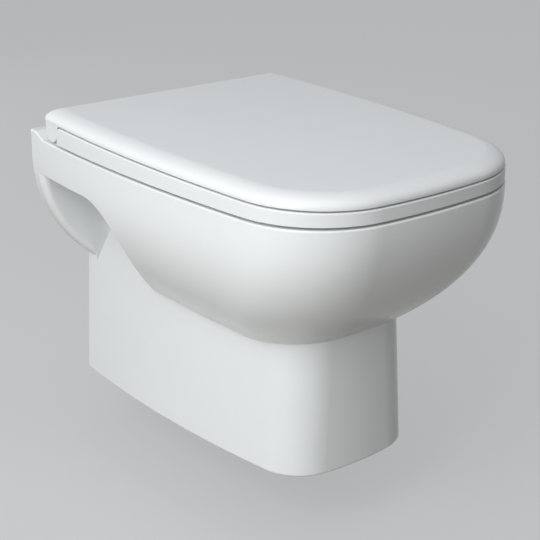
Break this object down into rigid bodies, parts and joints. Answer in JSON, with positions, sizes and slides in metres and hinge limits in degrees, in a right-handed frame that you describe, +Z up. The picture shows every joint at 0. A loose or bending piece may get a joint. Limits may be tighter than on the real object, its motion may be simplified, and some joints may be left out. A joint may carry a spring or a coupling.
{
  "type": "wall hung toilet",
  "caption": "Wall hung toilet: glazed ceramic pan on a trap housing, with a soft closing seat and lid on lift-off hinges, bolted through its wall plate.",
  "frame": {"origin": "midway between the two wall bolts, on the plane of the wall", "axes": "+X to the right seen from the front, +Y into the wall, +Z up"},
  "size_m": [0.3602, 0.5066, 0.3613],
  "materials": {
    "glazed_white": "gloss",
    "seat_white": "gloss",
    "hinge_grey": "satin",
    "damper_black": "satin",
    "button_grey": "satin",
    "fixing_white": "satin",
    "chrome_bright": "polished",
    "steel_plain": "brushed",
    "brass_plain": "satin",
    "rubber_black": "matte",
    "rubber_pale": "matte"
  },
  "bodies": {
    "pan": {"ceramic_pan": "glazed_white", "wall_sleeves": "fixing_white", "wall_washers": "steel_plain", "wall_nuts": "steel_plain", "inlet_seal": "rubber_black", "hinge_gaskets": "rubber_pale", "hinge_pillars": "chrome_bright", "hinge_bolts": "steel_plain", "hinge_plugs": "rubber_black", "hinge_nuts": "brass_plain"},
    "hinge_carrier": {"hinge_housing_right": "hinge_grey", "hinge_housing_left": "hinge_grey", "hinge_bridge": "hinge_grey", "damper_seat": "damper_black", "damper_lid": "damper_black"},
    "seat": {"seat": "seat_white", "seat_buffers": "rubber_pale", "damper_shaft_seat": "steel_plain"},
    "lid": {"lid": "seat_white", "lid_buffers": "rubber_pale", "damper_shaft_lid": "steel_plain"},
    "button_right": {"release_button_right": "button_grey"},
    "button_left": {"release_button_left": "button_grey"}
  },
  "joints": [
    {"name": "seat_lift_off", "type": "slide", "parent": "pan", "child": "hinge_carrier", "axis": [0, 0, 1], "range_m": [0, 0.06]},
    {"name": "seat_hinge", "type": "hinge", "parent": "hinge_carrier", "child": "seat", "pos_m": [0, -0.0525, 0.0944], "axis": [-1, 0, 0], "range_deg": [0, 91]},
    {"name": "lid_hinge", "type": "hinge", "parent": "seat", "child": "lid", "pos_m": [0, -0.0525, 0.0944], "axis": [-1, 0, 0], "range_deg": [0, 92]},
    {"name": "release_right", "type": "slide", "parent": "hinge_carrier", "child": "button_right", "axis": [1, 0, 0], "range_m": [0, 0.0025], "stiffness_N_per_m": 2000, "springref_m": -0.002},
    {"name": "release_left", "type": "slide", "parent": "hinge_carrier", "child": "button_left", "axis": [-1, 0, 0], "range_m": [0, 0.0025], "stiffness_N_per_m": 2000, "springref_m": -0.002}
  ]
}
